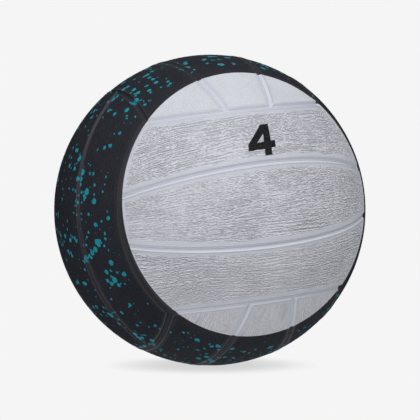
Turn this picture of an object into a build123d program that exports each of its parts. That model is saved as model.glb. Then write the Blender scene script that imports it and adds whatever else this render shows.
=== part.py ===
from build123d import *
import math
import os

# Water polo ball, adult match size.
# Frame: origin at the centre of the ball, +Z up, the front group of panels
# faces -Y, the valve points along +X.  Millimetres.

# ---------------------------------------------------------------- dimensions
BALL_DIAMETER = 210.0          # 659.7 mm round, inside the 650-670 mm of the match rule
R_OUT = BALL_DIAMETER / 2

PANEL_THICK = 1.2              # grippy cover rubber, at full thickness
FILM = 0.05                    # adhesive film between two layers
CARCASS_THICK = 0.7            # rubber sheet that shows at the floor of the grooves
WINDING_THICK = 0.55           # nylon thread wound round the bladder
BLADDER_THICK = 0.8            # butyl air bladder

R_PANEL_IN = R_OUT - PANEL_THICK
R_CARCASS = R_PANEL_IN - FILM
R_CARCASS_IN = R_CARCASS - CARCASS_THICK
R_WINDING = R_CARCASS_IN - FILM
R_WINDING_IN = R_WINDING - WINDING_THICK
R_BLADDER = R_WINDING_IN - FILM
R_BLADDER_IN = R_BLADDER - BLADDER_THICK

GROOVE_WIDTH = 4.5             # round channel between two panels, across its mouth
GROOVE_DEPTH = 1.0
SEAM_WIDTH = 1.0               # strip of carcass left bare at the bottom of a channel
STRIP_ANGLE = 14.1             # inner grooves: great circles this far either side of a group's middle
GROUP_ANGLE = math.degrees(math.acos(1 / math.sqrt(3)))   # 54.74: angular radius of a group's end circle
RIM_R = 0.6                    # rounding of a panel's outer rim

PORT_R = 6.2                   # hole through the layers for the valve
SEAT_R = 6.0                   # neck of the valve seat
SEAT_TOP_X = 104.6
SEAT_FLANGE_R = 13.0           # flange bonded inside the bladder
SEAT_FLANGE_THICK = 1.4
SEAT_STEM_END_X = 84.0
SEAT_BORE_R = 3.2
SEAT_MOUTH_R = 4.6             # counterbore for the head of the core
SEAT_MOUTH_X = 103.5

CORE_R = 3.15                  # 0.05 mm under the bore of the seat
CORE_HEAD_R = 4.52
CORE_HEAD_X = 103.55
CORE_TOP_X = 104.55
CORE_END_X = 86.0
NEEDLE_R = 0.9                 # passage for an inflating needle
NEEDLE_END_X = 90.0
NEEDLE_LEAD_R = 1.6
NEEDLE_LEAD = 0.7

os.makedirs("parts", exist_ok=True)

ORIGIN = (0, 0, 0)
ALONG = (1, 0, 0)              # along the strips of a group
SEAM_HALF = SEAM_WIDTH / 2
SEAM_HALF_DEG = math.degrees(SEAM_HALF / R_OUT)
CHANNEL_R = ((GROOVE_WIDTH / 2) ** 2 + GROOVE_DEPTH ** 2) / (2 * GROOVE_DEPTH)   # radius of its section
CHANNEL_AT = R_OUT - GROOVE_DEPTH + CHANNEL_R                                    # its centre, from the middle of the ball


def radial_cone(x_dir, z_dir, half_angle):
    """Solid cone with its tip at the centre of the ball."""
    height = R_OUT * 1.2
    cone = Cone(0.0, height * math.tan(math.radians(half_angle)), height,
                align=(Align.CENTER, Align.CENTER, Align.MIN))
    return Plane(ORIGIN, x_dir=x_dir, z_dir=z_dir) * cone


def channel(x_dir, z_dir, half_angle):
    """Ring that cuts a round channel along a circle of the ball about z_dir."""
    a = math.radians(half_angle)
    ring = Pos(0, 0, CHANNEL_AT * math.cos(a)) * Torus(CHANNEL_AT * math.sin(a), CHANNEL_R)
    return Plane(ORIGIN, x_dir=x_dir, z_dir=z_dir) * ring


def half_space(normal, offset):
    """Big block holding every point p with p . normal > offset."""
    size = R_OUT * 3
    block = Box(size, size, size, align=(Align.CENTER, Align.CENTER, Align.MIN))
    return Plane(tuple(offset * c for c in normal), z_dir=normal) * block


def rounded(panel):
    """Round the outer rim, where the face of the panel meets the channels."""
    def from_centre(point):
        return math.sqrt(point.X ** 2 + point.Y ** 2 + point.Z ** 2)

    rim = [e for e in panel.edges()
           if all(abs(from_centre(e @ t) - R_OUT) < 2e-3 for t in (0.0, 0.5, 1.0))]
    return fillet(rim, RIM_R)


# ------------------------------------------------- one group of three panels
# Local frame of a group: +Z out of the ball through the middle of the group,
# X along the strips.  The ends of the strips lie on a circle about Z and the
# long outer borders on circles about +Y and -Y, so six such groups close up.
# Every panel thins out to a feather edge at the bottom of the channels.
shell = Rot(90, 0, 0) * (Sphere(R_OUT) - Sphere(R_PANEL_IN))
field = shell & radial_cone((0, 1, 0), (0, 0, 1), GROUP_ANGLE - SEAM_HALF_DEG)

s = math.sin(math.radians(STRIP_ANGLE))
c = math.cos(math.radians(STRIP_ANGLE))
strip_high = (0.0, c, -s)      # normal of the inner groove on the +Y side
strip_low = (0.0, -c, -s)      # normal of the inner groove on the -Y side

channel_end = channel((0, 1, 0), (0, 0, 1), GROUP_ANGLE)
channel_high = channel(ALONG, strip_high, 90)
channel_low = channel(ALONG, strip_low, 90)

panel_high = (field & half_space(strip_high, SEAM_HALF)) - radial_cone(ALONG, (0, 1, 0), GROUP_ANGLE + SEAM_HALF_DEG)
panel_high = panel_high - channel_end - channel_high - channel(ALONG, (0, 1, 0), GROUP_ANGLE)
panel_low = (field & half_space(strip_low, SEAM_HALF)) - radial_cone(ALONG, (0, -1, 0), GROUP_ANGLE + SEAM_HALF_DEG)
panel_low = panel_low - channel_end - channel_low - channel(ALONG, (0, -1, 0), GROUP_ANGLE)
panel_mid = field & half_space((0.0, -c, s), SEAM_HALF) & half_space((0.0, c, s), SEAM_HALF)
panel_mid = panel_mid - channel_end - channel_high - channel_low

panel_high = rounded(panel_high)
panel_low = rounded(panel_low)
panel_mid = rounded(panel_mid)

# ------------------------------------------------------ six groups on the ball
# name: (outward normal, strip direction, name at +Y local, name at -Y local)
GROUPS = {
    "front": ((0, -1, 0), (1, 0, 0), "upper", "lower"),
    "back": ((0, 1, 0), (-1, 0, 0), "upper", "lower"),
    "left": ((-1, 0, 0), (0, 0, 1), "back", "front"),
    "right": ((1, 0, 0), (0, 0, 1), "front", "back"),
    "top": ((0, 0, 1), (0, 1, 0), "left", "right"),
    "bottom": ((0, 0, -1), (0, 1, 0), "right", "left"),
}

nodes = {}
for group, (normal, along, high, low) in GROUPS.items():
    place = Plane(ORIGIN, x_dir=along, z_dir=normal)
    nodes[f"{group}_{high}_panel"] = place * panel_high
    nodes[f"{group}_middle_panel"] = place * panel_mid
    nodes[f"{group}_{low}_panel"] = place * panel_low

# --------------------------------------------------------- layers underneath
VALVE = Plane(ORIGIN, x_dir=(0, 1, 0), z_dir=(1, 0, 0))     # local Z runs out along the valve


def port(radius):
    return VALVE * Cylinder(radius, R_OUT * 1.2, align=(Align.CENTER, Align.CENTER, Align.MIN))


def layer(r_out, r_in):
    return Sphere(r_out) - Sphere(r_in) - port(PORT_R)


nodes["right_middle_panel"] = nodes["right_middle_panel"] - port(PORT_R)
nodes["carcass"] = layer(R_CARCASS, R_CARCASS_IN)
nodes["thread_winding"] = layer(R_WINDING, R_WINDING_IN)
nodes["bladder"] = layer(R_BLADDER, R_BLADDER_IN)


# --------------------------------------------------------------------- valve
def turned(*outline):
    """Solid of revolution about the valve axis from lines in (radius, height)."""
    return VALVE * revolve(Plane.XZ * make_face(Curve() + list(outline)), axis=Axis.Z)


def on_sphere(radius, r):
    """Height at which a sphere about the origin passes a given distance from the axis."""
    return math.sqrt(radius ** 2 - r ** 2)


def sphere_arc(radius, r_from, r_to):
    points = [(r, on_sphere(radius, r)) for r in (r_from, (r_from + r_to) / 2, r_to)]
    return ThreePointArc(*points)


R_FLANGE = R_BLADDER_IN - FILM
R_FLANGE_IN = R_FLANGE - SEAT_FLANGE_THICK
STEP = 0.35

# neck, thin flange that follows the inside of the bladder, stem and bore
nodes["valve_seat"] = turned(
    Polyline(
        (SEAT_R, on_sphere(R_FLANGE_IN, SEAT_R)),
        (SEAT_R, SEAT_STEM_END_X + 6.0),
        (SEAT_R - 1.2, SEAT_STEM_END_X),
        (SEAT_BORE_R, SEAT_STEM_END_X),
        (SEAT_BORE_R, SEAT_MOUTH_X),
        (SEAT_MOUTH_R, SEAT_MOUTH_X),
        (SEAT_MOUTH_R, SEAT_TOP_X - STEP * 0.4),
        (SEAT_MOUTH_R + STEP * 0.4, SEAT_TOP_X),
        (SEAT_R - STEP, SEAT_TOP_X),
        (SEAT_R, SEAT_TOP_X - STEP),
        (SEAT_R, on_sphere(R_FLANGE, SEAT_R)),
    ),
    sphere_arc(R_FLANGE, SEAT_R, SEAT_FLANGE_R),
    Line((SEAT_FLANGE_R, on_sphere(R_FLANGE, SEAT_FLANGE_R)),
         (SEAT_FLANGE_R, on_sphere(R_FLANGE_IN, SEAT_FLANGE_R))),
    sphere_arc(R_FLANGE_IN, SEAT_FLANGE_R, SEAT_R),
)

# soft plug, pushed in from outside, with a blind needle passage that seals itself below
nodes["valve_core"] = turned(Polyline(
    (NEEDLE_LEAD_R, CORE_TOP_X),
    (CORE_HEAD_R - 0.3, CORE_TOP_X),
    (CORE_HEAD_R, CORE_TOP_X - 0.3),
    (CORE_HEAD_R, CORE_HEAD_X),
    (CORE_R, CORE_HEAD_X),
    (CORE_R, CORE_END_X + 2.4),
    (CORE_R - 1.3, CORE_END_X),
    (0.0, CORE_END_X),
    (0.0, NEEDLE_END_X),
    (NEEDLE_R, NEEDLE_END_X),
    (NEEDLE_R, CORE_TOP_X - NEEDLE_LEAD),
    close=True,
))

# -------------------------------------------------------------------- export
for name, shape in nodes.items():
    solids = shape.solids()
    if len(solids) != 1:
        raise ValueError(f"{name}: {len(solids)} solids")
    export_step(solids[0], f"parts/{name}.step")
    print(f"{name}: {solids[0].volume / 1000:.2f} cm3")
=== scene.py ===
import math

import bpy
import numpy as np
from mathutils import Matrix, Vector


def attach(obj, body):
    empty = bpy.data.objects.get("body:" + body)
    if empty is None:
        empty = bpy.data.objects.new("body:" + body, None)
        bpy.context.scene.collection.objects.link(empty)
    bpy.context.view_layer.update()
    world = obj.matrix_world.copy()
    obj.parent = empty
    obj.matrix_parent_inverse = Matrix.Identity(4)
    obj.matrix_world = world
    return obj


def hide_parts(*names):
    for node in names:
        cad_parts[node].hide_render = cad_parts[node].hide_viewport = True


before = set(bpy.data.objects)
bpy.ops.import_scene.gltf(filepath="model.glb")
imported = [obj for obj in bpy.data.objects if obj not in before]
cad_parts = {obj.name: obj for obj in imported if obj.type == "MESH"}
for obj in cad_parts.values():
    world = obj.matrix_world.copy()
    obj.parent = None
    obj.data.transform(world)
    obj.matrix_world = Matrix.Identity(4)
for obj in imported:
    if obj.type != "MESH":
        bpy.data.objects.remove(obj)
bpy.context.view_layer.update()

SCENE = bpy.context.scene
MM = 0.001

# ------------------------------------------------------------------ the ball
# All lengths in millimetres until a mesh is made.
R = 105.0                                  # outside of the cover
CARCASS_R, CARCASS_IN = 103.66, 103.05     # carcass under the panels
UNDER_R = 103.70                           # underside of a panel
END = math.acos(1 / math.sqrt(3))          # angular radius of a group's end circle
STRIP = math.radians(14.1)                 # inner grooves, either side of a group's middle
RIM = 1.90                                 # half the width of a channel
FLOOR = 0.55                               # half the width of its flat bottom
CORNER = 1.2                               # plan radius of a panel's corners
PORT_R = 6.2                               # valve hole

GROUPS = {
    "front": ((0, -1, 0), (1, 0, 0), "upper", "lower"),
    "back": ((0, 1, 0), (-1, 0, 0), "upper", "lower"),
    "left": ((-1, 0, 0), (0, 0, 1), "back", "front"),
    "right": ((1, 0, 0), (0, 0, 1), "front", "back"),
    "top": ((0, 0, 1), (0, 1, 0), "left", "right"),
    "bottom": ((0, 0, -1), (0, 1, 0), "right", "left"),
}

# the pale cap on the front, a circle on the ball, printed a little high and right
CAP_AXIS = np.array([0.0114, -0.99968, 0.0225])
CAP_ANGLE = math.radians(54.3)


# ------------------------------------------------------------ cross-section
CHANNEL_DEPTH = 1.18


def profile(s, shallow=0.0):
    """Height over the ball's surface at distance s from the middle of a groove:
    a seam, the flat bottom of the channel, its wall, then a low moulded lip along
    the rim, then the margin, which falls gently to the panel's face.  shallow is the
    share of the depth that is missing."""
    s = np.asarray(s, float)
    t = np.clip((s - FLOOR) / (RIM - FLOOR), 0, 1)
    wall = t * t * (3 - 2 * t)
    t = np.clip((s - RIM) / (6.2 - RIM), 0, 1)
    channel = 0.22 * wall * (1 - t * t * (3 - 2 * t)) - CHANNEL_DEPTH * (1 - shallow) * (1 - wall)
    lip = 0.24 * np.exp(-((s - 1.98) / np.where(s < 1.98, 0.26, 0.36)) ** 2)
    seam = -0.04 * np.exp(-(s / 0.12) ** 2)
    return channel + lip * (1 - shallow) + seam


RIM_LEVELS = [0.05, 0.15, 0.42, 0.60, 0.78, 0.95, 1.12, 1.28, 1.44, 1.58, 1.71, 1.83, 1.94, 2.05, 2.16,
              2.28, 2.41, 2.55, 2.72, 2.95]

# ------------------------------------------------------------------- grain
# The grip is a moulded grain of short ridges along the strip, as on planed wood,
# mostly 0.8 to 2 mm from ridge to ridge, most 2 to 3 mm long and some 10 to 14 mm.
TILE_U, TILE_V, TILE_STEP = 1024, 512, 0.25


def random_field(seed, spectrum):
    """Repeating random sheet with a given mixture of wavelengths."""
    rng = np.random.default_rng(seed)
    ku = 2 * math.pi * np.fft.fftfreq(TILE_U, TILE_STEP)[:, None]
    kv = 2 * math.pi * np.fft.fftfreq(TILE_V, TILE_STEP)[None, :]
    f = np.fft.ifft2(np.fft.fft2(rng.standard_normal((TILE_U, TILE_V))) * spectrum(ku, kv)).real
    f = f - f.mean()
    return f / f.std()


def soft(lu, lv):
    return lambda ku, kv: np.exp(-(ku * lu) ** 2 / 2 - (kv * lv) ** 2 / 2)


def dashes(length):
    def spectrum(ku, kv):
        k = np.abs(kv)
        slope = (1 + (k / 2.5) ** 3) * (1 - np.exp(-(k / 1.3) ** 4)) * np.exp(-(k / 5.6) ** 12)
        return np.exp(-(ku * length) ** 2 / 2) * slope / np.maximum(k, 0.5)
    return spectrum


RIDGES_SHORT = random_field(11, dashes(0.45))
RIDGES_LONG = random_field(16, dashes(4.5))
PATCHES = random_field(17, soft(14.0, 6.0))
SWAY = random_field(12, soft(26.0, 20.0))
SWAY_SMALL = random_field(13, soft(5.0, 4.0))
STRENGTH = random_field(14, soft(9.0, 7.0))
RAGGED = random_field(15, soft(1.6, 1.6))


def sample(field, u, v):
    x, y = u / TILE_STEP, v / TILE_STEP
    i, j = np.floor(x).astype(int), np.floor(y).astype(int)
    fx, fy = x - i, y - j
    i0, i1, j0, j1 = i % TILE_U, (i + 1) % TILE_U, j % TILE_V, (j + 1) % TILE_V
    return ((field[i0, j0] * (1 - fx) + field[i1, j0] * fx) * (1 - fy)
            + (field[i0, j1] * (1 - fx) + field[i1, j1] * fx) * fy)


def smoothstep(x, lo, hi):
    t = np.clip((x - lo) / (hi - lo), 0, 1)
    return t * t * (3 - 2 * t)


def grain(kind, place, shift, edge, streaks):
    """Relief of the grip from -1 to 1, and how much of it there is this far in
    from the groove.  The ridges run alongside the grooves above and below; streaks is
    the share of long ridges among them."""
    u, v = place[:, 0], place[:, 1]
    low, high = R * np.arctan(np.tan(STRIP) * np.cos(u / R)), R * (math.pi / 2 - END)
    if kind == "mid":
        w = R * np.arctan2(np.tan(v / R), np.cos(u / R))
        spread = low / (R * STRIP)
    else:
        spread = (high - low) / (high - R * STRIP)
        w = R * STRIP + (v - low) / spread
    from_end = R * (END - np.arccos(np.clip(np.cos(u / R) * np.cos(v / R), -1, 1)))
    at_end = smoothstep(from_end - edge, 1.5, 0.0)
    u, v = u + shift[0], v + shift[1]
    w = w + shift[1] + 1.8 * sample(SWAY, u, v) + 0.2 * sample(SWAY_SMALL, u, v)
    share = streaks + 0.20 * sample(PATCHES, u, v) + 0.15 * (1 - smoothstep(edge, 5.0, 12.0))
    share = np.clip(share, 0.05, 0.95)
    ridges = np.sqrt(1 - share) * sample(RIDGES_SHORT, u, 1.56 * w) + np.sqrt(share) * sample(RIDGES_LONG, u, 1.56 * w)
    f = np.tanh(0.95 * ridges)
    force = np.clip(1.0 + 0.14 * sample(STRENGTH, u, v), 0.5, 1.5)
    where = smoothstep(edge + 0.25 * sample(RAGGED, u, v), 2.7, 5.6 - 1.4 * at_end)
    return f * force * spread ** 0.9, where


# depth of the grain: the faces in front and behind are the coarsest
GRAIN_STREAKS = {"front": 0.42, "back": 0.42, "left": 0.42, "right": 0.42, "top": 0.30, "bottom": 0.80}
GRAIN_HEIGHT = {"front": 0.41, "back": 0.41, "left": 0.25, "right": 0.25, "top": 0.08, "bottom": 0.19}
GRAIN_SINK = 0.35
# the top and bottom are the smoothest, with the faintest grooves inside them
SHALLOW = {"top": 0.25, "bottom": 0.50}
GRIP = {"front": 1.0, "back": 1.0, "left": 1.0, "right": 1.0, "top": 0.60, "bottom": 0.80}


# ------------------------------------------------------------- panel outline
def side_outer(s):
    return 1.0, 0.0, math.cos(END + s / R)


def side_inner(s):
    return math.cos(STRIP), -math.sin(STRIP), math.sin(s / R)


def side_mid_top(s):
    return -math.cos(STRIP), math.sin(STRIP), math.sin(s / R)


def side_mid_bottom(s):
    return math.cos(STRIP), math.sin(STRIP), math.sin(s / R)


def panel_loop(top, bottom, s, nu, nv, k):
    """Closed outline at distance s from the middle of the grooves round a panel,
    with rounded corners.  Unit vectors, anticlockwise seen from outside, starting
    at the middle of the lower left corner."""
    rc = 0.3 + (CORNER - 0.3) * s / RIM if s < RIM else max(RIM + CORNER - s, 0.3)

    def corner(side, phi, sign):
        s_end = s + rc * (1 - math.cos(phi))
        ny, nz, c = side(s + rc * (1 - math.sin(phi)))
        z = math.cos(END - s_end / R)
        y = (c - nz * z) / ny
        return np.array([sign * math.sqrt(max(0.0, 1 - y * y - z * z)), y, z])

    def along(side):
        ny, nz, c = side(s)
        n = np.array([0.0, ny, nz])
        e2 = np.array([0.0, -nz, ny])
        e2 = e2 * np.sign(e2[2])
        p = corner(side, math.pi / 2, 1)
        t_end = math.atan2(p[0], p @ e2)
        t = np.linspace(-t_end, t_end, nu + 1)[1:-1, None]
        return c * n + math.sqrt(1 - c * c) * (np.sin(t) * np.array([1.0, 0, 0]) + np.cos(t) * e2)

    def end(sign):
        a, b = corner(bottom, 0.0, 1), corner(top, 0.0, 1)
        psi = np.linspace(math.atan2(a[1], a[0]), math.atan2(b[1], b[0]), nv + 1)[1:-1]
        ring = math.hypot(a[0], a[1])
        return np.stack([sign * ring * np.cos(psi), ring * np.sin(psi), np.full(nv - 1, a[2])], 1)

    phis = np.linspace(0, math.pi / 2, k + 1)
    parts = [
        along(bottom),
        np.array([corner(bottom, p, 1) for p in phis[::-1]]),
        end(1),
        np.array([corner(top, p, 1) for p in phis]),
        along(top)[::-1],
        np.array([corner(top, p, -1) for p in phis[::-1]]),
        end(-1)[::-1],
        np.array([corner(bottom, p, -1) for p in phis]),
    ]
    return np.roll(np.concatenate(parts), 1 + k // 2, axis=0)


def patch(loop, n_u, n_v):
    """Grid of unit vectors that fills a four-sided loop."""
    low = loop[: n_u + 1]
    right = loop[n_u: n_u + n_v + 1]
    high = loop[n_u + n_v: 2 * n_u + n_v + 1][::-1]
    left = np.concatenate([loop[2 * n_u + n_v:], loop[:1]])[::-1]
    u = np.linspace(0, 1, n_u + 1)[:, None, None]
    v = np.linspace(0, 1, n_v + 1)[None, :, None]
    p = ((1 - v) * low[:, None] + v * high[:, None] + (1 - u) * left[None] + u * right[None]
         - (1 - u) * (1 - v) * low[0] - u * (1 - v) * low[-1] - (1 - u) * v * high[0] - u * v * high[-1])
    return p / np.linalg.norm(p, axis=2, keepdims=True)


def depth_inside(d, top, bottom):
    """Distance from the middle of the nearest groove, rounded at the corners."""
    s_end = R * (END - np.arccos(np.clip(d[:, 2], -1, 1)))

    def from_side(side):
        ny, nz, c = side(0.0)
        if side is side_outer:
            return R * (np.arccos(np.clip(d[:, 1], -1, 1)) - END)
        return R * np.arcsin(np.clip(d[:, 1] * ny + d[:, 2] * nz, -1, 1))

    edge = RIM + CORNER
    best = np.minimum(s_end, np.minimum(from_side(top), from_side(bottom)))
    for side in (top, bottom):
        a, b = edge - s_end, edge - from_side(side)
        both = (a > 0) & (b > 0)
        best = np.where(both, np.minimum(best, edge - np.hypot(a, b)), best)
    return best


def shallow_here(d, top, missing):
    """The grooves inside a group may be shallower than its borders; the depth
    changes over a few millimetres beside the border."""
    from_border = R * (END - np.arccos(np.clip(d[:, 2], -1, 1)))
    if top is side_outer:
        from_border = np.minimum(from_border, R * (np.arccos(np.clip(d[:, 1], -1, 1)) - END))
    return missing * smoothstep(from_border, 3.0, 10.0)


def strip_coordinates(co):
    """Along and across the strip, in millimetres on the surface."""
    d = co / np.linalg.norm(co, axis=1, keepdims=True)
    return np.stack([R * np.arctan2(d[:, 0], d[:, 2]), R * np.arcsin(np.clip(d[:, 1], -1, 1))], 1)


# -------------------------------------------------------------------- meshes
class Sheet:
    """Points and faces gathered for one mesh."""

    def __init__(self):
        self.co, self.edge, self.flat, self.faces, self.count = [], [], [], [], 0

    def add(self, co, edge, flat=None):
        """flat is the place in the unrolled picture of the piece, if it isn't the
        place on the strip."""
        co = np.asarray(co, float)
        start = self.count
        self.co.append(co)
        self.edge.append(np.broadcast_to(np.asarray(edge, float), (len(co),)))
        self.flat.append(strip_coordinates(co) if flat is None else flat)
        self.count += len(co)
        return np.arange(start, self.count)

    def face(self, q, flip, under):
        self.faces.append((q[:, ::-1] if flip else q, under))

    def strip(self, a, b, flip=False, under=False):
        """Faces between two closed rings; the second may have a fraction of the points."""
        m = len(a) // len(b)
        if m == 1:
            q = np.stack([a, np.roll(a, -1), np.roll(b, -1), b], 1)
        else:
            fine = np.stack([np.roll(a, -i)[::m] for i in range(m + 1)], 1)
            q = np.concatenate([fine, np.roll(b, -1)[:, None], b[:, None]], 1)
        self.face(q, flip, under)

    def grid(self, ids, keep=None, flip=False, under=False):
        q = np.stack([ids[:-1, :-1], ids[1:, :-1], ids[1:, 1:], ids[:-1, 1:]], 2)
        self.face(q[keep] if keep is not None else q.reshape(-1, 4), flip, under)


def block_ring(ids, i0, i1, j0, j1):
    """Ring of grid points round a block of cells, anticlockwise."""
    return np.concatenate([ids[i0:i1, j0], ids[i1, j0:j1], ids[i1:i0:-1, j1], ids[i0, j1:j0:-1]])


def grid_in_ring(ring, n_u, n_v, inside):
    ids = np.zeros((n_u + 1, n_v + 1), int)
    ids[:, 0] = ring[: n_u + 1]
    ids[n_u, :] = ring[n_u: n_u + n_v + 1]
    ids[:, n_v] = ring[n_u + n_v: 2 * n_u + n_v + 1][::-1]
    ids[0, :] = np.concatenate([ring[2 * n_u + n_v:], ring[:1]])[::-1]
    ids[1:-1, 1:-1] = inside.reshape(n_u - 1, n_v - 1)
    return ids


def new_object(name, co, faces, flat_map=None):
    """Object from points in millimetres and blocks of faces of equal length."""
    loops = np.concatenate([f.ravel() for f in faces]).astype(np.int32)
    sizes = np.concatenate([np.full(len(f), f.shape[1]) for f in faces])
    starts = np.concatenate([[0], np.cumsum(sizes)[:-1]]).astype(np.int32)
    mesh = bpy.data.meshes.new(name)
    mesh.vertices.add(len(co))
    mesh.vertices.foreach_set("co", (np.asarray(co, float) * MM).astype(np.float32).ravel())
    mesh.loops.add(len(loops))
    mesh.loops.foreach_set("vertex_index", loops)
    mesh.polygons.add(len(sizes))
    mesh.polygons.foreach_set("loop_start", starts)
    mesh.update(calc_edges=True)
    if flat_map is not None:
        layer = mesh.uv_layers.new(name="OFBake")
        layer.data.foreach_set("uv", flat_map.astype(np.float32).ravel())
    mesh.validate()
    mesh.shade_smooth()
    obj = bpy.data.objects.new(name, mesh)
    SCENE.collection.objects.link(obj)
    return obj


def attribute(obj, name, values):
    a = obj.data.attributes.new(name, "FLOAT_VECTOR" if values.ndim == 2 else "FLOAT", "POINT")
    a.data.foreach_set("vector" if values.ndim == 2 else "value", values.astype(np.float32).ravel())


def make_panel(kind, shift, tall, streaks, missing, port=False):
    """One cover panel in the frame of its group: channel wall, lip and grained face,
    thin underside and, on one panel, the round hole for the valve."""
    top, bottom = {"high": (side_outer, side_inner), "mid": (side_mid_top, side_mid_bottom)}[kind]
    k = 8
    nu, nv = 360 - k, 192 - k
    n_u, n_v = nu + k, nv + k
    sh = Sheet()
    rings = []
    for s in RIM_LEVELS:
        loop = panel_loop(top, bottom, s, nu, nv, k)
        rings.append(sh.add(loop * (R + profile(s, shallow_here(loop, top, missing)))[:, None], s))
    for a, b in zip(rings, rings[1:]):
        sh.strip(a, b)
    inner = panel_loop(top, bottom, RIM_LEVELS[-1], nu, nv, k)

    # outer face with the grain
    d = patch(inner, n_u, n_v)[1:-1, 1:-1].reshape(-1, 3)
    s = depth_inside(d, top, bottom)
    height = profile(s, shallow_here(d, top, missing))
    place = strip_coordinates(d)
    if port:
        from_port = np.hypot(place[:, 0], place[:, 1]) - PORT_R
        s = np.minimum(s, from_port + 1.6)
    f, where = grain(kind, place, shift, s, streaks)
    height = height + tall * (f - GRAIN_SINK) * where
    ids = grid_in_ring(rings[-1], n_u, n_v, sh.add(d * (R + height)[:, None], s))
    keep = np.ones((n_u, n_v), bool)
    ci, cj, bi, bj = n_u // 2, n_v // 2, 20, 40
    if port:
        keep[ci - bi: ci + bi, cj - bj: cj + bj] = False
    sh.grid(ids, keep)

    # underside, four times coarser
    foot = sh.add(panel_loop(top, bottom, 0.45, nu, nv, k) * UNDER_R, 0.45)
    sh.strip(rings[0], foot, flip=True, under=True)
    coarse = inner[::4]
    back = sh.add(coarse * UNDER_R, 9.0)
    sh.strip(foot, back, flip=True, under=True)
    m_u, m_v = n_u // 4, n_v // 4
    d = patch(coarse, m_u, m_v)[1:-1, 1:-1].reshape(-1, 3)
    ids_back = grid_in_ring(back, m_u, m_v, sh.add(d * UNDER_R, 9.0))
    keep = np.ones((m_u, m_v), bool)
    if port:
        keep[(ci - bi) // 4: (ci + bi) // 4, (cj - bj) // 4: (cj + bj) // 4] = False
    sh.grid(ids_back, keep, flip=True, under=True)

    if port:
        last = block_ring(ids, ci - bi, ci + bi, cj - bj, cj + bj)
        co = np.concatenate(sh.co)[last]
        phi = np.arctan2(co[:, 1], co[:, 0])
        ring_shape = np.stack([np.cos(phi), np.sin(phi)], 1)
        # a low bead round the hole, a rounded mouth, then the wall
        for i, (radius, height) in enumerate((
                (8.8, 0.0), (8.4, 0.01), (8.1, 0.05), (7.85, 0.11), (7.6, 0.16), (7.35, 0.18), (7.1, 0.16), (6.9, 0.10),
                (6.72, 0.02), (6.55, -0.09), (6.40, -0.20), (6.29, -0.33), (6.23, -0.47), (PORT_R, -0.62),
                (PORT_R, -0.85), (PORT_R, UNDER_R - R))):
            z = math.sqrt((R + height) ** 2 - radius ** 2)
            co = np.concatenate([radius * ring_shape, np.full((len(phi), 1), z)], 1)
            ring = sh.add(co, 2.2, flat=ring_shape * (radius - 0.12 * max(0, i - 7)))
            sh.strip(last, ring)
            last = ring
        hole = block_ring(ids_back, (ci - bi) // 4, (ci + bi) // 4, (cj - bj) // 4, (cj + bj) // 4)
        # the wall's last ring meets the coarser underside
        sh.strip(last, hole, under=True)
    return sh


def panel_object(name, kind, group, material):
    value = sum((i + 3) * ord(ch) for i, ch in enumerate(name))
    shift = np.array([(value % 83) * 3.07, (value % 47) * 2.71])
    shape = "mid" if kind == "mid" else "high"
    sh = make_panel(shape, shift, GRAIN_HEIGHT[group], GRAIN_STREAKS[group], SHALLOW.get(group, 0.0), name == "right_middle_panel")
    co = np.concatenate(sh.co)
    edge = np.concatenate(sh.edge)
    flat = np.concatenate(sh.flat)
    strip = strip_coordinates(co)
    f, where = grain(shape, strip, shift, edge, GRAIN_STREAKS[group])
    faces = [q for q, _ in sh.faces]
    # unrolled picture: the outside above, the underside in a narrow band below
    lo, hi = flat.min(0), flat.max(0)
    unit = (flat - lo) / (hi - lo)
    over = np.stack([0.01 + 0.98 * unit[:, 0], 0.11 + 0.88 * unit[:, 1]], 1)
    below = np.stack([0.01 + 0.98 * unit[:, 0], 0.01 + 0.08 * unit[:, 1]], 1)
    if kind == "low":
        co, strip = co * np.array([1, -1, 1.0]), strip * np.array([1, -1.0])
        faces = [q[:, ::-1] for q in faces]
    flat_map = np.concatenate([(below if under else over)[q.ravel()] for q, (_, under) in zip(faces, sh.faces)])
    normal, along = (np.array(v, float) for v in GROUPS[group][:2])
    axes = np.stack([along, np.cross(normal, along), normal], 1)
    obj = new_object(name + "_skin", co @ axes.T, faces, flat_map)
    attribute(obj, "edge", edge)
    attribute(obj, "grain", f * where * GRAIN_HEIGHT[group] / max(GRAIN_HEIGHT.values()))
    attribute(obj, "grip", where * GRIP[group])
    attribute(obj, "strip", np.concatenate([strip, np.full((len(strip), 1), (value % 61) * 3.3)], 1))
    obj.data.materials.append(material)
    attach(obj, "ball")
    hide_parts(name)
    return obj


def lathe(outline, n, ring_closed):
    """Turned solid about +X from (radius, x) points.  ring_closed joins the last
    point to the first; otherwise the first and last points are on the axis."""
    pts = np.asarray(outline, float)
    ang = np.linspace(0, 2 * math.pi, n, endpoint=False)
    inner = pts if ring_closed else pts[1:-1]
    co = [np.stack([np.full(n, h), r * np.cos(ang), r * np.sin(ang)], 1) for r, h in inner]
    m = len(inner)
    ids = np.arange(m * n).reshape(m, n)
    quads = []
    for i in range(m if ring_closed else m - 1):
        a, b = ids[i], ids[(i + 1) % m]
        quads.append(np.stack([a, np.roll(a, -1), np.roll(b, -1), b], 1))
    faces = [np.concatenate(quads)]
    if not ring_closed:
        co += [np.array([[pts[0][1], 0, 0]]), np.array([[pts[-1][1], 0, 0]])]
        first, last = np.full(n, m * n), np.full(n, m * n + 1)
        faces.append(np.stack([first, np.roll(ids[0], -1), ids[0]], 1))
        faces.append(np.stack([ids[-1], np.roll(ids[-1], -1), last], 1))
    return np.concatenate(co), [q[:, ::-1] for q in faces]


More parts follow.
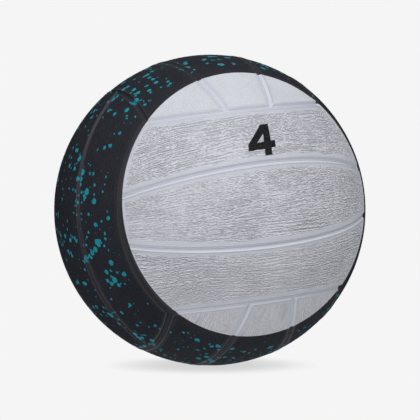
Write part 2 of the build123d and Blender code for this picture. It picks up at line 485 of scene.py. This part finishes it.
def rounded_outline(points, steps=5, closed=False):
    """Polyline from (radius, x, fillet) points with its corners rounded."""
    out, n = [], len(points)
    for i, (r, h, f) in enumerate(points):
        if f <= 0 or (not closed and i in (0, n - 1)):
            out.append((r, h))
            continue
        p = np.array([r, h])
        a = np.array(points[i - 1][:2]) - p
        b = np.array(points[(i + 1) % n][:2]) - p
        la, lb = np.linalg.norm(a), np.linalg.norm(b)
        cut = min(f, 0.49 * la, 0.49 * lb)
        for t in np.linspace(0, 1, steps):
            q = (1 - t) ** 2 * (p + a / la * cut) + 2 * t * (1 - t) * p + t ** 2 * (p + b / lb * cut)
            out.append(tuple(q))
    return out


# ----------------------------------------------------------------- materials
class Tree:
    """Small helper to write shader nodes."""

    def __init__(self, name):
        self.mat = bpy.data.materials.new(name)
        self.mat.use_nodes = True
        self.nt = self.mat.node_tree
        self.nt.nodes.clear()
        self.out = self.nt.nodes.new("ShaderNodeOutputMaterial")
        self.bsdf = self.nt.nodes.new("ShaderNodeBsdfPrincipled")
        self.nt.links.new(self.bsdf.outputs[0], self.out.inputs[0])

    def put(self, socket, value):
        if isinstance(value, bpy.types.NodeSocket):
            self.nt.links.new(value, socket)
        else:
            socket.default_value = value

    def math(self, op, a, b=None, c=None, clamp=False):
        n = self.nt.nodes.new("ShaderNodeMath")
        n.operation, n.use_clamp = op, clamp
        for i, v in enumerate((a, b, c)):
            if v is not None:
                self.put(n.inputs[i], v)
        return n.outputs[0]

    def vec(self, op, a, b=None):
        n = self.nt.nodes.new("ShaderNodeVectorMath")
        n.operation = op
        self.put(n.inputs[0], a)
        if b is not None:
            self.put(n.inputs[3 if op == "SCALE" else 1], b)
        return n.outputs["Value" if op in ("DOT_PRODUCT", "LENGTH") else "Vector"]

    def smooth(self, x, lo, hi, to=(0.0, 1.0)):
        n = self.nt.nodes.new("ShaderNodeMapRange")
        n.interpolation_type = "SMOOTHSTEP"
        self.put(n.inputs["Value"], x)
        self.put(n.inputs["From Min"], lo)
        self.put(n.inputs["From Max"], hi)
        n.inputs["To Min"].default_value, n.inputs["To Max"].default_value = to
        return n.outputs[0]

    def mix(self, fac, a, b):
        n = self.nt.nodes.new("ShaderNodeMix")
        n.data_type = "RGBA"
        self.put(n.inputs[0], fac)
        self.put(n.inputs[6], a)
        self.put(n.inputs[7], b)
        return n.outputs[2]

    def noise(self, vector, scale, detail=2.0, rough=0.5, dims="3D", colour=False):
        n = self.nt.nodes.new("ShaderNodeTexNoise")
        n.noise_dimensions = dims
        self.put(n.inputs["Vector"], vector)
        n.inputs["Scale"].default_value = scale
        n.inputs["Detail"].default_value = detail
        n.inputs["Roughness"].default_value = rough
        return n.outputs["Color" if colour else "Fac"]

    def voronoi(self, vector, scale, randomness=1.0):
        n = self.nt.nodes.new("ShaderNodeTexVoronoi")
        self.put(n.inputs["Vector"], vector)
        n.inputs["Scale"].default_value = scale
        n.inputs["Randomness"].default_value = randomness
        return n.outputs["Distance"], n.outputs["Color"]

    def attribute(self, name, what):
        n = self.nt.nodes.new("ShaderNodeAttribute")
        n.attribute_name = name
        return n.outputs[what]

    def position(self):
        """Place on the ball in millimetres, fixed to the piece."""
        n = self.nt.nodes.new("ShaderNodeTexCoord")
        return self.vec("SCALE", n.outputs["Object"], 1000.0)

    def xyz(self, v):
        n = self.nt.nodes.new("ShaderNodeSeparateXYZ")
        self.put(n.inputs[0], v)
        return n.outputs

    def join(self, x, y, z=0.0):
        n = self.nt.nodes.new("ShaderNodeCombineXYZ")
        for i, v in enumerate((x, y, z)):
            self.put(n.inputs[i], v)
        return n.outputs[0]

    def bump(self, height, distance, strength=1.0):
        n = self.nt.nodes.new("ShaderNodeBump")
        self.put(n.inputs["Height"], height)
        self.put(n.inputs["Strength"], strength)
        n.inputs["Distance"].default_value = distance
        return n.outputs[0]


GREY = (0.480, 0.486, 0.526, 1)
GREY_SMOOTH = (0.384, 0.397, 0.442, 1)
# painted shade for the grain's hollows and the foot of the lips, also used for the random mottle
GREY_SHADE_AND_DIRT = (0.265, 0.269, 0.294, 1)
# pale print painted lighter in the channels: painted light
GREY_CHANNEL_LIT = (0.466, 0.482, 0.535, 1)
DARK = (0.0102, 0.0119, 0.0182, 1)
DARK_SOFT = (0.0150, 0.0168, 0.0226, 1)
# painted sheen on the smooth charcoal
DARK_SHEEN = (0.0170, 0.0173, 0.0230, 1)
# painted highlight on the dark lips and painted light on the dark channel floors
DARK_PAINTED_LIGHT = (0.0420, 0.0400, 0.0480, 1)
TEAL = (0.003, 0.150, 0.190, 1)
TEAL_LIGHT = (0.004, 0.204, 0.254, 1)
INK = (0.0135, 0.0135, 0.0155, 1)


def cover_colour(t, p):
    """Pale cap in front and its twin behind, charcoal band between them with a
    random teal spatter and a ring of painted sheen next to the caps.  Returns the band's colour and the pale mask."""
    d = t.vec("NORMALIZE", p)
    front = t.vec("DOT_PRODUCT", d, tuple(CAP_AXIS))
    back = t.vec("DOT_PRODUCT", d, (0.0, 1.0, 0.0))
    nearest = t.math("MAXIMUM", front, back)
    edge = math.cos(CAP_ANGLE)
    # the print wraps part of the way round the rim into the grooves
    half = t.vec("ADD", t.vec("SCALE", p, 0.5), t.vec("SCALE", d, 0.5 * R))
    pale = None
    for axis, facing in ((CAP_AXIS, front), (np.array([0.0, 1.0, 0.0]), back)):
        away = t.vec("LENGTH", t.vec("CROSS_PRODUCT", half, tuple(axis)))
        limit = R * math.sin(CAP_ANGLE)
        cap = t.math("MULTIPLY", t.smooth(away, limit + 0.1, limit - 0.1), t.math("GREATER_THAN", facing, 0.0))
        pale = cap if pale is None else t.math("MAXIMUM", pale, cap)
    # three sizes of drop, gathered in loose clouds, kept off the rim of the caps
    warp = t.vec("SUBTRACT", t.noise(p, 0.45, 1.0, colour=True), (0.5, 0.5, 0.5))
    q = t.vec("ADD", p, t.vec("SCALE", warp, 1.0))
    cloud = t.smooth(t.noise(t.vec("ADD", p, (140.0, 0.0, 0.0)), 0.04, 2.0, 0.6), 0.34, 0.60, (0.65, 1.15))
    clear = t.smooth(nearest, edge - 0.050, edge - 0.095)
    reach = t.math("MULTIPLY", cloud, clear)
    spots = None
    for size, low, high, power, offset in ((9.0, 0.80, 2.50, 1.25, 23.0), (6.1, 0.52, 1.88, 1.2, 5.0), (5.2, 0.42, 1.02, 1.2, 67.0)):
        dist, rnd = t.voronoi(t.vec("ADD", q, (offset, offset * 0.7, -offset)), 1.0 / size)
        grow = t.math("POWER", t.xyz(rnd)[0], power)
        radius = t.math("MULTIPLY", t.math("MULTIPLY_ADD", grow, high - low, low), reach)
        gap = t.math("SUBTRACT", radius, t.math("MULTIPLY", dist, size))
        layer = t.smooth(gap, -0.08, 0.14)
        spots = layer if spots is None else t.math("MAXIMUM", spots, layer)
    teal = t.mix(t.noise(p, 0.25, 2.0), TEAL, TEAL_LIGHT)
    dark = t.mix(t.noise(p, 0.12, 3.0, 0.6), DARK, DARK_SOFT)
    # a ring of painted sheen on the charcoal next to the caps
    dark = t.mix(t.smooth(nearest, edge - 0.075, edge - 0.01), dark, DARK_SHEEN)
    return ((spots, teal), dark), pale


def numeral_mask(t, strip):
    """A plain figure four from three straight-sided shapes, printed a little aslant."""
    across = np.array([[20.17, 4.16], [1.22, 21.56]]) @ np.diag([1 / 20.0, 1 / 22.8])
    inv = np.linalg.inv(across)
    x, y, _ = t.xyz(strip)
    x = t.math("SUBTRACT", x, 0.53)
    y = t.math("SUBTRACT", y, 41.11)
    gx = t.math("MULTIPLY_ADD", y, inv[0, 1], t.math("MULTIPLY", x, inv[0, 0]))
    gy = t.math("MULTIPLY_ADD", y, inv[1, 1], t.math("MULTIPLY", x, inv[1, 0]))
    shapes = [
        [(-10.0, -1.6), (-3.6, -1.6), (1.8, 4.6), (1.8, 11.4), (0.3, 11.4)],
        [(1.6, -11.4), (6.8, -11.4), (6.8, 11.4), (1.6, 11.4)],
        [(-10.0, -6.6), (10.0, -6.6), (10.0, -1.5), (-10.0, -1.5)],
    ]
    union = None
    for poly in shapes:
        inside = None
        for (x0, y0), (x1, y1) in zip(poly, poly[1:] + poly[:1]):
            length = math.hypot(x1 - x0, y1 - y0)
            nx, ny = -(y1 - y0) / length, (x1 - x0) / length
            e = t.math("MULTIPLY_ADD", gx, nx, -(nx * x0 + ny * y0))
            e = t.math("MULTIPLY_ADD", gy, ny, e)
            inside = e if inside is None else t.math("MINIMUM", inside, e)
        union = inside if union is None else t.math("MAXIMUM", union, inside)
    return t.smooth(union, -0.14, 0.14)


def cover_material(name, numeral=False):
    t = Tree(name)
    p = t.position()
    strip = t.attribute("strip", "Vector")
    relief = t.attribute("grain", "Fac")
    grip = t.attribute("grip", "Fac")
    dark, pale = cover_colour(t, p)
    # painted shade in the hollows of the grain, and a random mottle of dirt
    hollow_shade = t.math("MULTIPLY", t.smooth(relief, 0.25, -0.85), grip)
    mottle = t.noise(p, 0.06, 3.0, 0.55)
    shade_and_dirt = t.math("MULTIPLY_ADD", hollow_shade, 0.86, t.smooth(mottle, 0.35, 0.75, (0.0, 0.12)))
    # a finer tooth on top of the ridges, with painted shade in its low spots
    x, y, z = t.xyz(strip)
    tooth = t.noise(t.join(t.math("MULTIPLY", x, 0.8), t.math("MULTIPLY", y, 1.2), z), 1.0, 0.0)
    shade_and_dirt = t.math("MULTIPLY_ADD", t.math("SUBTRACT", 0.5, tooth), t.math("MULTIPLY", grip, 0.8), shade_and_dirt, clamp=True)
    tooth = t.math("MULTIPLY", tooth, grip)
    edge = t.attribute("edge", "Fac")
    # and a thin line of painted shade along the foot of the lips
    lip_foot_shade = t.math("MULTIPLY", t.smooth(edge, 2.15, 2.40), t.smooth(edge, 2.80, 2.50))
    shade_and_dirt = t.math("MULTIPLY_ADD", lip_foot_shade, 0.30, shade_and_dirt, clamp=True)
    grey = t.mix(shade_and_dirt, t.mix(grip, GREY_SMOOTH, GREY), GREY_SHADE_AND_DIRT)
    # the channels of the pale print are painted lighter: painted light against the shade in them
    grey = t.mix(t.smooth(edge, 2.2, 1.4), grey, GREY_CHANNEL_LIT)
    # the dark print has a painted sheen where it is smooth and a painted highlight on the lips
    smooth = t.math("SUBTRACT", 1.0, grip)
    lip = t.math("MULTIPLY", t.smooth(edge, 1.6, 2.0), t.smooth(edge, 2.7, 2.2))
    spots, dark = dark
    dark = t.mix(t.math("MULTIPLY", smooth, 0.5), dark, DARK_SHEEN)
    dark = t.mix(t.math("MULTIPLY", lip, 0.36), dark, DARK_PAINTED_LIGHT)
    # painted light on the floors of the channels in the dark print
    dark = t.mix(t.smooth(edge, 1.9, 1.1, (0.0, 0.42)), dark, DARK_PAINTED_LIGHT)
    dark = t.mix(spots[0], dark, spots[1])
    colour = t.mix(pale, dark, grey)
    if numeral:
        four = numeral_mask(t, strip)
        colour = t.mix(four, colour, INK)
    t.put(t.bsdf.inputs["Base Color"], colour)
    pores = t.noise(p, 2.6, 3.0, 0.6)
    t.put(t.bsdf.inputs["Normal"], t.bump(t.math("MULTIPLY_ADD", pores, 0.08, tooth), 0.00035))
    # the smooth rubber of channels and margins has a satin shine, the grain is dull
    rough = t.math("MULTIPLY_ADD", t.noise(p, 0.2, 2.0), 0.12, 0.46)
    rough = t.math("MULTIPLY_ADD", grip, 0.14, rough)
    # the lips are polished by handling
    t.put(t.bsdf.inputs["Roughness"], t.math("MULTIPLY_ADD", lip, -0.16, rough))
    t.put(t.bsdf.inputs["Specular IOR Level"], t.math("MULTIPLY_ADD", lip, 0.30, t.smooth(grip, 0.0, 1.0, (0.22, 0.15))))
    return t.mat


def seam_material(name):
    """Carcass rubber seen at the bottom of the channels, printed like the cover, with both prints painted lighter here
    as painted light.
    """
    t = Tree(name)
    p = t.position()
    dark, pale = cover_colour(t, p)
    mottle = t.noise(p, 0.15, 3.0, 0.6)
    # the pale print painted lighter in the channels (painted light), with a random mottle
    grey = t.mix(t.smooth(mottle, 0.35, 0.7, (0.0, 0.2)), GREY_CHANNEL_LIT, GREY_SHADE_AND_DIRT)
    spots, dark = dark
    # painted light: the dark print painted lighter in the channels
    dark = t.mix(spots[0], t.mix(0.42, dark, DARK_PAINTED_LIGHT), spots[1])
    t.put(t.bsdf.inputs["Base Color"], t.mix(pale, dark, grey))
    t.put(t.bsdf.inputs["Normal"], t.bump(t.noise(p, 2.2, 3.0, 0.6), 0.00003))
    t.put(t.bsdf.inputs["Roughness"], t.math("MULTIPLY_ADD", mottle, 0.16, 0.46))
    t.bsdf.inputs["Specular IOR Level"].default_value = 0.30
    return t.mat


def rubber_material(name, colour, colour2, rough, bump, scale=0.9):
    t = Tree(name)
    p = t.position()
    n = t.noise(p, scale, 4.0, 0.6)
    t.put(t.bsdf.inputs["Base Color"], t.mix(t.smooth(n, 0.3, 0.7), colour, colour2))
    t.put(t.bsdf.inputs["Roughness"], t.math("MULTIPLY_ADD", n, 0.2, rough - 0.1))
    t.put(t.bsdf.inputs["Normal"], t.bump(t.noise(p, scale * 3, 3.0, 0.6), bump))
    t.bsdf.inputs["Specular IOR Level"].default_value = 0.35
    return t.mat


def thread_material(name):
    """Nylon thread: strands alongside the bundle they lie in, each bundle a little
    different in tone, with painted shade on the lower thread where an upper bundle leaves a step."""
    t = Tree(name)
    p = t.position()
    across, tone, height = t.xyz(t.attribute("lay", "Vector"))
    strand = t.math("ABSOLUTE", t.math("SINE", t.math("MULTIPLY", across, math.pi / 0.8)))
    fluff = t.noise(p, 1.8, 3.0, 0.6)
    light = t.math("MULTIPLY_ADD", tone, 0.5, t.math("MULTIPLY", strand, 0.5))
    colour = t.mix(t.smooth(light, 0.1, 0.9), (0.20, 0.18, 0.14, 1), (0.44, 0.41, 0.34, 1))
    # painted shade on the lower thread beside an upper bundle
    colour = t.mix(t.smooth(height, 0.10, -0.10, (0.0, 0.6)), colour, (0.15, 0.13, 0.10, 1))
    t.put(t.bsdf.inputs["Base Color"], colour)
    t.put(t.bsdf.inputs["Normal"], t.bump(t.math("MULTIPLY_ADD", fluff, 0.2, strand), 0.0002))
    t.put(t.bsdf.inputs["Roughness"], t.math("MULTIPLY_ADD", fluff, 0.2, 0.5))
    t.bsdf.inputs["Sheen Weight"].default_value = 0.15
    return t.mat


COVER = cover_material("cover_rubber")
COVER_NUMERAL = cover_material("cover_rubber_numeral", numeral=True)
CARCASS = seam_material("carcass_rubber")
VALVE_RUBBER = rubber_material("valve_rubber", (0.014, 0.014, 0.016, 1), (0.026, 0.026, 0.029, 1), 0.55, 0.00003)
CORE_RUBBER = rubber_material("valve_core_rubber", (0.030, 0.031, 0.034, 1), (0.05, 0.051, 0.055, 1), 0.5, 0.00003)
BUTYL = rubber_material("butyl_rubber", (0.012, 0.012, 0.012, 1), (0.03, 0.029, 0.027, 1), 0.6, 0.00006, 0.3)
THREAD = thread_material("nylon_thread")

# ------------------------------------------------------------ cover panels
for group, (_, _, high, low) in GROUPS.items():
    for kind, word in (("high", high), ("mid", "middle"), ("low", low)):
        node = f"{group}_{word}_panel"
        panel_object(node, kind, group, COVER_NUMERAL if node == "front_upper_panel" else COVER)


# ----------------------------------------------------------- layers below
def make_shell(r_out, r_in, relief=None):
    """Thin shell, an even cube sphere inside and out, open at the valve; relief
    gives the height of its outside in each direction."""
    n = 84
    a = np.tan(np.linspace(-1, 1, n + 1) * math.pi / 4)
    co, flat, faces, holes, start = [], [], [], [], 0

    def tile(i, place):
        """Twelve squares of the unrolled picture, four by three."""
        return (np.array([i % 4, i // 4]) + 0.02 + 0.96 * place) / np.array([4.0, 3.0])

    steps = np.linspace(0, 1, n + 1)
    square = np.stack(np.meshgrid(steps, steps, indexing="ij"), 2).reshape(-1, 2)
    for radius, flip in ((r_out, False), (r_in, True)):
        for axis in ((1, 0, 0), (-1, 0, 0), (0, 1, 0), (0, -1, 0), (0, 0, 1), (0, 0, -1)):
            flat.append(tile(len(flat), square))
            z = np.array(axis, float)
            x = np.array([0, 1.0, 0]) if abs(z[0]) > 0.5 else np.array([1.0, 0, 0])
            y = np.cross(z, x)
            g = a[:, None, None] * x + a[None, :, None] * y + z
            g = g.reshape(-1, 3) / np.linalg.norm(g, axis=2).reshape(-1, 1)
            g = g * (radius + (relief(g)[:, None] if relief and not flip else 0.0))
            ids = np.arange((n + 1) ** 2).reshape(n + 1, n + 1) + start
            start += (n + 1) ** 2
            co.append(g)
            q = np.stack([ids[:-1, :-1], ids[1:, :-1], ids[1:, 1:], ids[:-1, 1:]], 2)
            keep = np.ones((n, n), bool)
            if z[0] > 0.5:
                c, b = n // 2, 5
                keep[c - b: c + b, c - b: c + b] = False
                holes.append(block_ring(ids, c - b, c + b, c - b, c + b))
            faces.append(q[keep][:, ::-1] if flip else q[keep])
    co, flat = np.concatenate(co), np.concatenate(flat)
    rings, turns = [], []
    for hole, radius, i in zip(holes, (r_out, r_in), (0, 6)):
        phi = np.arctan2(co[hole][:, 2], co[hole][:, 1])
        if relief and i == 0:
            radius = radius + relief(co[hole] / np.linalg.norm(co[hole], axis=1, keepdims=True)).mean()
        x = math.sqrt(radius ** 2 - PORT_R ** 2)
        rings.append(np.arange(len(phi)) + len(co))
        ring = np.stack([np.full(len(phi), x), PORT_R * np.cos(phi), PORT_R * np.sin(phi)], 1)
        turns.append(np.arctan2(ring[:, 1:], x) / (math.pi / 2))
        co, flat = np.concatenate([co, ring]), np.concatenate([flat, tile(i, 0.5 + turns[-1])])

    def between(p, q):
        return np.stack([p, np.roll(p, -1, axis=0), np.roll(q, -1, axis=0), q], 1)

    faces += [between(holes[0], rings[0]), between(rings[1], holes[1])]
    flat_map = [flat[f] for f in faces]
    # the wall of the hole is drawn inside the hole
    faces.append(between(rings[0], rings[1]))
    flat_map.append(between(flat[rings[0]], tile(0, 0.5 + 0.8 * turns[0])))
    # weld the seams of the cube
    _, first, back = np.unique(np.round(co, 5), axis=0, return_index=True, return_inverse=True)
    return co[first], [back.reshape(-1)[np.concatenate(faces)]], np.concatenate(flat_map).reshape(-1, 2)


def thread_lay(d):
    """Flat bundles of thread laid one over another round great circles: place across
    the uppermost bundle, its tone, and the height of the thread."""
    rng = np.random.default_rng(21)
    lay = np.zeros((len(d), 3))
    for i in range(46):
        axis = rng.standard_normal(3)
        axis = axis / np.linalg.norm(axis)
        half, tone = rng.uniform(3.5, 6.0), rng.uniform(0.0, 1.0)
        across = R * np.arcsin(np.clip(d @ axis, -1, 1))
        height = (0.10 + 0.22 * (i + 1) / 46) * np.exp(-(across / half) ** 6)
        over = height > lay[:, 2]
        lay[over] = np.stack([across, np.full(len(d), tone), height], 1)[over]
    return lay - np.array([0.0, 0.0, 0.10])


def thread_bundles(d):
    return thread_lay(d)[:, 2]


def bladder_marks(d):
    """Seam of the mould round the bladder and the round patch under the valve."""
    seam = 0.14 * np.exp(-(R * np.arcsin(np.clip(d[:, 1], -1, 1)) / 2.4) ** 2)
    patch_edge = R * np.arccos(np.clip(d[:, 0], -1, 1))
    return np.maximum(seam, 0.16 * (1 - smoothstep(patch_edge, 19.0, 23.0)))


for name, node, r_out, r_in, relief, material in (
        ("carcass_shell", "carcass", CARCASS_R, CARCASS_IN, None, CARCASS),
        ("thread_winding_bundles", "thread_winding", 102.74, 102.46, thread_bundles, THREAD),
        ("bladder_shell", "bladder", 102.18, 101.62, bladder_marks, BUTYL)):
    shell = new_object(name, *make_shell(r_out, r_in, relief))
    shell.data.materials.append(material)
    if material is THREAD:
        co = np.empty(3 * len(shell.data.vertices), np.float32)
        shell.data.vertices.foreach_get("co", co)
        co = co.reshape(-1, 3).astype(float)
        attribute(shell, "lay", thread_lay(co / np.linalg.norm(co, axis=1, keepdims=True)))
    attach(shell, "ball")
    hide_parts(node)

# ------------------------------------------------------------------- valve
FLANGE_R, FLANGE_IN = 101.55, 100.15


def on_sphere(radius, r):
    return math.sqrt(radius ** 2 - r ** 2)


seat_outline = rounded_outline([
    (6.0, on_sphere(FLANGE_IN, 6.0), 0.8),
    (6.0, 90.0, 0.5),
    (4.8, 84.0, 0.5),
    (3.2, 84.0, 0.25),
    (3.2, 103.5, 0.1),
    (4.6, 103.5, 0.12),
    (4.6, 104.6, 0.22),
    (5.1, 104.6, 0.1),
    (5.25, 104.52, 0.1),
    (5.4, 104.6, 0.1),
    (6.0, 104.6, 0.32),
    (6.0, on_sphere(FLANGE_R, 6.0), 0.4),
    (9.5, on_sphere(FLANGE_R, 9.5), 0.0),
    (13.0, on_sphere(FLANGE_R, 13.0), 0.3),
    (13.0, on_sphere(FLANGE_IN, 13.0), 0.3),
    (9.5, on_sphere(FLANGE_IN, 9.5), 0.0),
], closed=True)
seat = new_object("valve_seat_rubber", *lathe(seat_outline, 96, True))
seat.data.materials.append(VALVE_RUBBER)
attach(seat, "ball")
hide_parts("valve_seat")

core_outline = rounded_outline([
    (0.0, 90.0, 0.0),
    (0.9, 90.0, 0.15),
    (0.9, 103.85, 0.3),
    (1.6, 104.5, 0.18),
    (2.2, 104.52, 0.1),
    (2.35, 104.44, 0.08),
    (2.55, 104.44, 0.08),
    (2.7, 104.54, 0.1),
    (4.52, 104.50, 0.32),
    (4.52, 103.55, 0.15),
    (3.15, 103.55, 0.12),
    (3.15, 101.2, 0.1),
    (3.02, 101.0, 0.1),
    (3.02, 100.2, 0.1),
    (3.15, 100.0, 0.1),
    (3.15, 97.2, 0.1),
    (3.02, 97.0, 0.1),
    (3.02, 96.2, 0.1),
    (3.15, 96.0, 0.1),
    (3.15, 88.4, 0.8),
    (1.85, 86.0, 0.5),
    (0.0, 86.0, 0.0),
])
core = new_object("valve_core_plug", *lathe(core_outline, 96, False))
core.data.materials.append(CORE_RUBBER)
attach(core, "core")
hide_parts("valve_core")

# ------------------------------------------------------------ camera, stage
# rows: the ball's axes seen by the camera (right, up, towards the camera)
AXES = Matrix(((0.91698, 0.11602, -0.38170), (-0.37950, -0.04132, -0.92427), (-0.12300, 0.99239, 0.00614)))
DISTANCE = 10.784 * 0.105
cam_data = bpy.data.cameras.new("camera")
cam_data.sensor_width = 36.0
cam_data.lens = 36.0 * math.sqrt(10.784 ** 2 - 1) * 155.33 / 420
cam = bpy.data.objects.new("camera", cam_data)
SCENE.collection.objects.link(cam)
cam.matrix_world = Matrix.Translation(AXES @ Vector((0, 0, DISTANCE))) @ AXES.to_4x4()
cam_data.clip_start, cam_data.clip_end = 0.01, 50.0
SCENE.camera = cam

WHITE = 0.913
# the ball stands a little turned on a floor that is level with the camera
LEVEL = (AXES @ Vector((0, 1, 0))).to_track_quat("Z", "Y").to_matrix().to_4x4()


def stage_floor():
    """Flat pale paper, lit evenly like the backdrop, that takes a soft shadow only
    close to where the ball stands."""
    n = 96
    radii = [0.001, 0.03, 0.06, 0.09, 0.12, 0.16, 0.22, 0.4, 1.0, 3.0, 8.0]
    ang = np.linspace(0, 2 * math.pi, n, endpoint=False)
    co = [(r * math.cos(a), r * math.sin(a), -0.10515) for r in radii for a in ang]
    faces = [(i * n + j, (i + 1) * n + j, (i + 1) * n + (j + 1) % n, i * n + (j + 1) % n)
             for i in range(len(radii) - 1) for j in range(n)] + [tuple(range(n))]
    mesh = bpy.data.meshes.new("stage_floor")
    mesh.from_pydata(co, [], faces)
    obj = bpy.data.objects.new("stage_floor", mesh)
    obj.matrix_world = LEVEL
    SCENE.collection.objects.link(obj)
    t = Tree("stage_paper")
    t.bsdf.inputs["Base Color"].default_value = (0.64, 0.64, 0.64, 1)
    t.bsdf.inputs["Roughness"].default_value = 0.9
    t.bsdf.inputs["Specular IOR Level"].default_value = 0.0
    glow = t.nt.nodes.new("ShaderNodeEmission")
    glow.inputs["Color"].default_value = (WHITE, WHITE, WHITE, 1)
    n_mix = t.nt.nodes.new("ShaderNodeMixShader")
    coord = t.nt.nodes.new("ShaderNodeTexCoord")
    far = t.vec("LENGTH", coord.outputs["Object"])
    t.put(n_mix.inputs[0], t.smooth(far, 0.106, 0.131, (0.30, 0.0)))
    t.put(n_mix.inputs[1], glow.outputs[0])
    t.put(n_mix.inputs[2], t.bsdf.outputs[0])
    t.put(t.out.inputs[0], n_mix.outputs[0])
    mesh.materials.append(t.mat)
    return obj


floor = stage_floor()


def area(name, place, size, power):
    data = bpy.data.lights.new(name, "AREA")
    data.shape, data.size, data.energy = "DISK", size, power
    obj = bpy.data.objects.new(name, data)
    obj.location = place
    obj.rotation_mode = "QUATERNION"
    obj.rotation_quaternion = (-Vector(place)).to_track_quat("-Z", "Y")
    SCENE.collection.objects.link(obj)
    return obj


def backdrop():
    """Even pale backdrop all round, seen only by the camera."""
    n, m, far = 48, 24, 9.0
    co = [(far * math.sin(math.pi * i / m) * math.cos(2 * math.pi * j / n), far * math.sin(math.pi * i / m) * math.sin(2 * math.pi * j / n),
           far * math.cos(math.pi * i / m)) for i in range(1, m) for j in range(n)]
    faces = [(i * n + j, i * n + (j + 1) % n, (i + 1) * n + (j + 1) % n, (i + 1) * n + j) for i in range(m - 2) for j in range(n)]
    mesh = bpy.data.meshes.new("stage_backdrop")
    mesh.from_pydata(co, [], faces + [tuple(range(n)), tuple(range((m - 2) * n, (m - 1) * n))])
    obj = bpy.data.objects.new("stage_backdrop", mesh)
    SCENE.collection.objects.link(obj)
    t = Tree("stage_backdrop")
    glow = t.nt.nodes.new("ShaderNodeEmission")
    glow.inputs["Color"].default_value = (WHITE, WHITE, WHITE, 1)
    t.put(t.out.inputs[0], glow.outputs[0])
    mesh.materials.append(t.mat)
    for ray in ("visible_diffuse", "visible_glossy", "visible_transmission", "visible_volume_scatter", "visible_shadow"):
        setattr(obj, ray, False)


def table_glow():
    """What the smooth rubber mirrors of the table: only the paper close to the ball."""
    n, radius = 64, 0.34
    mesh = bpy.data.meshes.new("stage_table")
    mesh.from_pydata([(radius * math.cos(2 * math.pi * i / n), radius * math.sin(2 * math.pi * i / n), -0.1054) for i in range(n)], [], [tuple(range(n))])
    obj = bpy.data.objects.new("stage_table", mesh)
    obj.matrix_world = LEVEL
    SCENE.collection.objects.link(obj)
    t = Tree("stage_table")
    glow = t.nt.nodes.new("ShaderNodeEmission")
    glow.inputs["Color"].default_value = (0.36, 0.36, 0.38, 1)
    t.put(t.out.inputs[0], glow.outputs[0])
    mesh.materials.append(t.mat)
    for ray in ("visible_camera", "visible_diffuse", "visible_transmission", "visible_volume_scatter", "visible_shadow"):
        setattr(obj, ray, False)


backdrop()
table_glow()
area("softbox_key", AXES @ Vector((0.22, 1.30, 1.05)), 1.1, 18.2)
area("softbox_front", AXES @ Vector((-0.75, 0.28, 1.45)), 0.7, 6.4)
# light from above and behind: mostly soft, with a weak shine on the smooth rubber
area("softbox_back", AXES @ Vector((0.00, 1.25, -1.00)), 1.1, 7.0).visible_glossy = False
area("softbox_back_shine", AXES @ Vector((0.00, 1.25, -1.00)), 1.6, 3.0).visible_diffuse = False

world = bpy.data.worlds.new("studio")
SCENE.world = world
world.use_nodes = True
world.node_tree.nodes["Background"].inputs[0].default_value = (1, 1, 1, 1)
world.node_tree.nodes["Background"].inputs[1].default_value = 0.685
world.cycles_visibility.glossy = False
floor.visible_glossy = False
SCENE.view_settings.view_transform = "Standard"

bpy.context.view_layer.update()
